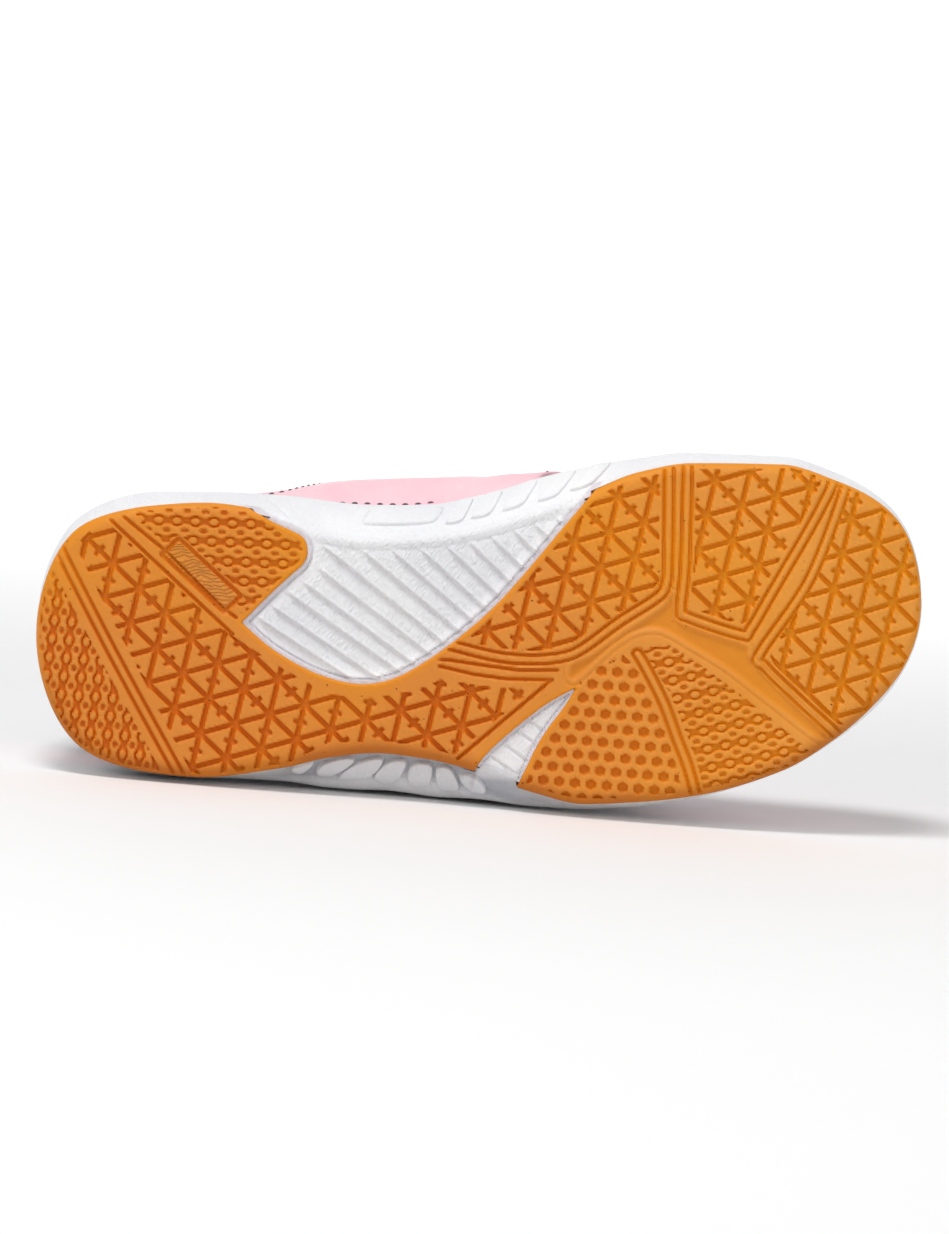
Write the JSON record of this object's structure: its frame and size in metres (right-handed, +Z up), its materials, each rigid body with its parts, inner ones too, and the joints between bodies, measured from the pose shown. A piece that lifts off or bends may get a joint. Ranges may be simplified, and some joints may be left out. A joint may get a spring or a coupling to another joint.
{
  "type": "sneaker",
  "caption": "Low child's indoor court shoe for the left foot, lying on its outer side: panelled gum rubber outsole, white cup midsole, hollow upper with strap closure.",
  "frame": {"origin": "middle of the bottom of the bounding box, on the floor that the shoe lies on", "axes": "+X from heel to toe, -Y the way the tread faces, +Z up from the floor, towards the inner side of the foot"},
  "size_m": [0.2004, 0.093, 0.0846],
  "materials": {
    "gum_rubber": "satin translucent gum rubber with a moulded tread",
    "white_foam": "moulded matt white foam with a fine pebble",
    "insole_cloth": "matt knitted cloth over foam",
    "plum_mesh": "matt dark plum mesh",
    "plum_lining": "soft brushed lining over foam padding",
    "pink_leather": "satin pale pink leather with a fine grain",
    "plum_thread": "dark plum sewing thread"
  },
  "bodies": {
    "root": {"outsole": "gum_rubber", "midsole": "white_foam", "insole": "insole_cloth", "upper": "plum_mesh", "tongue": "plum_mesh", "collar_lining": "plum_lining", "toe_cap": "pink_leather", "heel_counter": "pink_leather", "quarter_medial": "pink_leather", "quarter_lateral": "pink_leather", "strap_front": "pink_leather", "strap_top": "pink_leather"}
  },
  "joints": []
}
